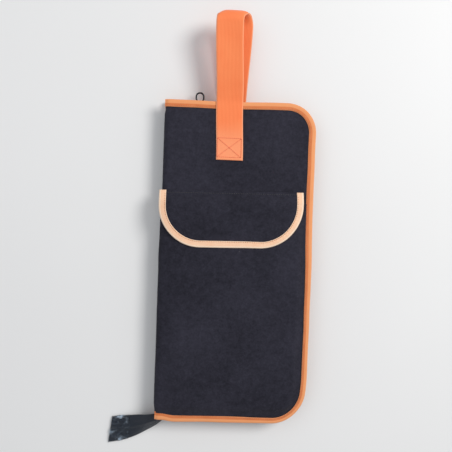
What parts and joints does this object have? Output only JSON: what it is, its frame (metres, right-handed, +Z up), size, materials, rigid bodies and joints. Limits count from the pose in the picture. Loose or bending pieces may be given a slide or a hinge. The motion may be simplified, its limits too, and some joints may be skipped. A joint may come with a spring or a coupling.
{
  "type": "drum stick bag",
  "caption": "Flat padded zip bag that carries drum sticks, with a webbing handle loop, an outer pocket under a rounded flap and sewn stick channels inside.",
  "frame": {"origin": "centre of the back cover's outer face, which is the face the closed bag lies on", "axes": "+X across the bag from the spine to the zip side, +Y along the bag towards the handle, +Z up through the closed bag from the back cover to the front cover"},
  "size_m": [0.2868, 0.6236, 0.0538],
  "materials": {
    "bag_fabric": "black woven polyester with a slight blue cast",
    "foam": "dark grey closed-cell foam sheet",
    "lining": "dark plain-weave lining",
    "binding": "orange grosgrain tape",
    "zip_tape": "black woven zip tape",
    "zip_coil": "black nylon coil",
    "zip_metal": "black painted metal",
    "thread": "red-orange bonded thread",
    "hook_loop": "black hook and loop tape",
    "webbing": "red-orange polypropylene webbing",
    "clear_film": "clear glossy film"
  },
  "bodies": {
    "back": {"back_shell": "bag_fabric", "back_foam": "foam", "back_lining": "lining", "back_binding": "binding", "back_zipper_tape": "zip_tape", "back_zipper_coil": "zip_coil", "back_zipper_stop": "zip_metal", "back_handle_stitching": "thread", "stick_pocket": "lining", "stick_pocket_binding": "binding", "zipper_tail": "zip_tape", "zipper_end_film": "clear_film"},
    "spine": {"spine_shell": "bag_fabric", "spine_foam": "foam", "spine_lining": "lining", "handle_webbing": "webbing"},
    "front": {"front_shell": "bag_fabric", "front_foam": "foam", "front_lining": "lining", "front_binding": "binding", "front_zipper_tape": "zip_tape", "front_zipper_coil": "zip_coil", "front_zipper_stop": "zip_metal", "front_handle_stitching": "thread", "wide_pocket_panel": "lining", "wide_pocket_walls": "lining", "wide_pocket_binding": "binding", "outer_pocket_panel": "bag_fabric", "outer_pocket_gusset": "bag_fabric", "pocket_mouth_hem": "bag_fabric", "pocket_loop_patch": "hook_loop"},
    "flap": {"pocket_flap": "bag_fabric", "flap_binding": "binding", "flap_hook_patch": "hook_loop"},
    "slider": {"zipper_slider": "zip_metal"},
    "link": {"pull_link": "zip_metal"},
    "loop": {"pull_loop": "zip_metal"}
  },
  "joints": [
    {"name": "cover_fold", "type": "hinge", "parent": "spine", "child": "front", "pos_m": [-0.1075, 0, 0.0243], "axis": [0, -1, 0], "range_deg": [0, 120], "deforming": ["handle_webbing", "zipper_tail", "zipper_end_film"]},
    {"name": "spine_fold", "type": "hinge", "parent": "back", "child": "spine", "pos_m": [-0.1075, 0, 0.0057], "axis": [0, -1, 0], "range_deg": [0, 60], "deforming": ["handle_webbing", "zipper_tail", "zipper_end_film"]},
    {"name": "flap_lift", "type": "hinge", "parent": "front", "child": "flap", "pos_m": [-0.0085, 0.1025, 0.031], "axis": [-1, 0, 0], "range_deg": [0, 130]},
    {"name": "slider_travel", "type": "slide", "parent": "back", "child": "slider", "axis": [1, 0, 0], "range_m": [-0.03, 0.115]},
    {"name": "link_swing", "type": "hinge", "parent": "slider", "child": "link", "pos_m": [-0.0585, 0.2242, 0.015], "axis": [0, 0, 1], "range_deg": [-25, 25]},
    {"name": "pull_swing", "type": "hinge", "parent": "link", "child": "loop", "pos_m": [-0.0585, 0.231, 0.015], "axis": [0, 0, 1], "range_deg": [-30, 30]}
  ],
  "couplings": [
    {"joint": "spine_fold", "follows": "cover_fold", "ratio": 0.5}
  ]
}
